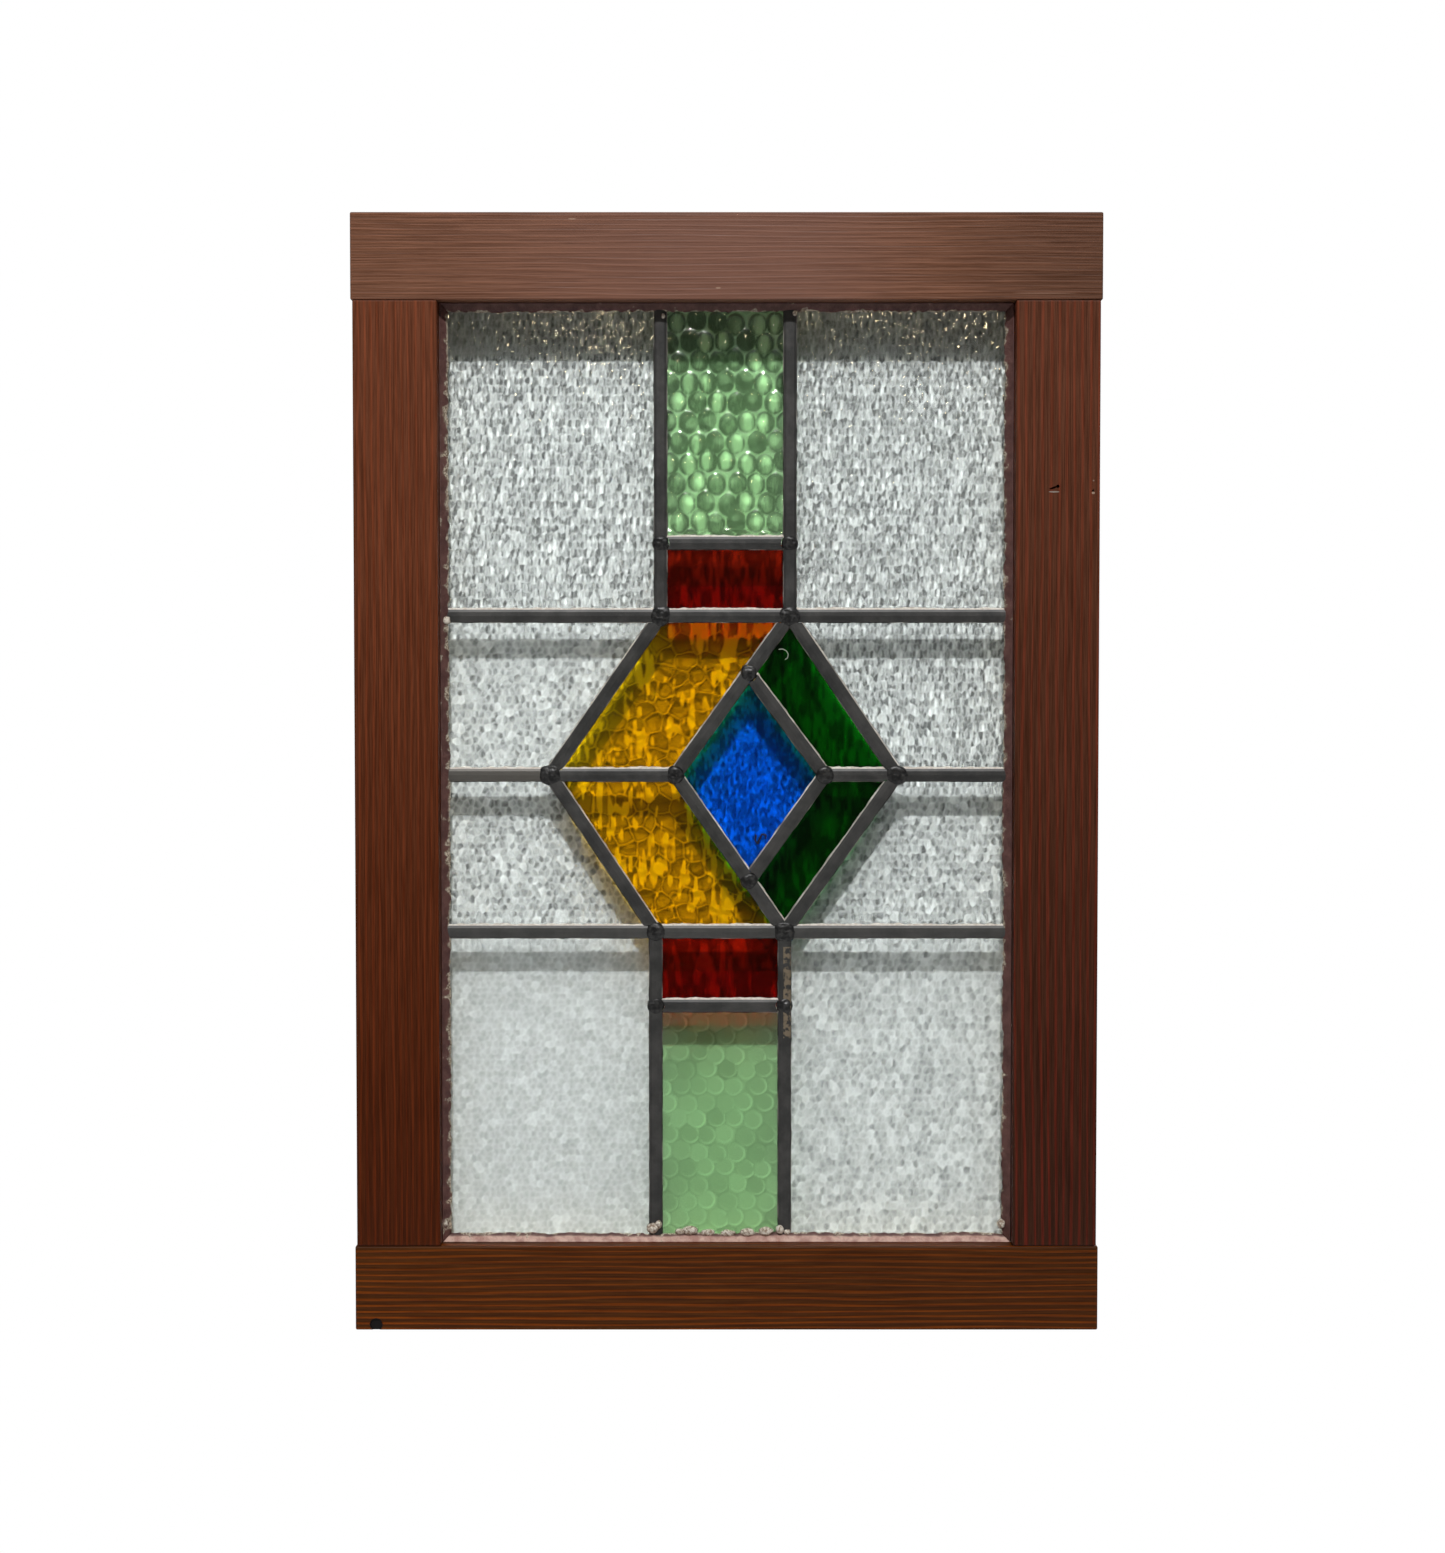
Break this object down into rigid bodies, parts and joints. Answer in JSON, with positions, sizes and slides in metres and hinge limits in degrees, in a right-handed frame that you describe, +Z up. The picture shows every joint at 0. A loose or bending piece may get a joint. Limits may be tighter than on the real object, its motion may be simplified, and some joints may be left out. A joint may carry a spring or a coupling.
{
  "type": "leaded stained glass window",
  "caption": "Upright leaded light in a stained softwood frame, with a hexagon of coloured panes, an offset blue diamond and hammered clear glass around it.",
  "frame": {"origin": "middle of the bottom rail's underside, the face that stands on the sill of the opening", "axes": "+X across the window to the right as seen from the front, +Y from the front to the back, +Z up"},
  "size_m": [0.476, 0.038, 0.712],
  "materials": {
    "frame_wood": "straight-grained softwood, mahogany stain, worn satin varnish",
    "painted_putty": "hard putty painted over in red brown, bare and cream where it has chipped",
    "bare_putty": "hard linseed putty, cream, dull",
    "lead": "darkened lead, dull, with blackened solder",
    "clear_glass": "clear rolled glass, hammered in small cells",
    "pale_green_glass": "pale green rolled glass, hammered in round cells",
    "red_glass": "deep red rolled glass",
    "amber_glass": "amber rolled glass in large uneven cells",
    "dark_green_glass": "dark green streaky rolled glass",
    "blue_glass": "deep blue streaky rolled glass"
  },
  "bodies": {
    "root": {"top_rail": "frame_wood", "bottom_rail": "frame_wood", "left_stile": "frame_wood", "right_stile": "frame_wood", "putty_front_left": "painted_putty", "putty_front_right": "painted_putty", "putty_front_top": "painted_putty", "putty_front_bottom": "painted_putty", "putty_back_left": "bare_putty", "putty_back_right": "bare_putty", "putty_back_top": "bare_putty", "putty_back_bottom": "bare_putty", "pane_clear_top_left": "clear_glass", "pane_clear_top_right": "clear_glass", "pane_clear_upper_left": "clear_glass", "pane_clear_upper_right": "clear_glass", "pane_clear_lower_left": "clear_glass", "pane_clear_lower_right": "clear_glass", "pane_clear_bottom_left": "clear_glass", "pane_clear_bottom_right": "clear_glass", "pane_pale_green_top": "pale_green_glass", "pane_pale_green_bottom": "pale_green_glass", "pane_red_top": "red_glass", "pane_red_bottom": "red_glass", "pane_amber_upper": "amber_glass", "pane_amber_lower": "amber_glass", "pane_dark_green_upper": "dark_green_glass", "pane_dark_green_lower": "dark_green_glass", "pane_blue_diamond": "blue_glass", "came_upper_line": "lead", "came_lower_line": "lead", "came_vertical_upper_left": "lead", "came_vertical_upper_right": "lead", "came_vertical_lower_left": "lead", "came_vertical_lower_right": "lead", "came_upper_bar": "lead", "came_lower_bar": "lead", "came_middle_left": "lead", "came_between_ambers": "lead", "came_between_greens": "lead", "came_middle_right": "lead", "came_hexagon_upper_left": "lead", "came_hexagon_lower_left": "lead", "came_hexagon_upper_right": "lead", "came_hexagon_lower_right": "lead", "came_diamond_upper_left": "lead", "came_diamond_lower_left": "lead", "came_blue_upper_right": "lead", "came_blue_lower_right": "lead"}
  },
  "joints": []
}
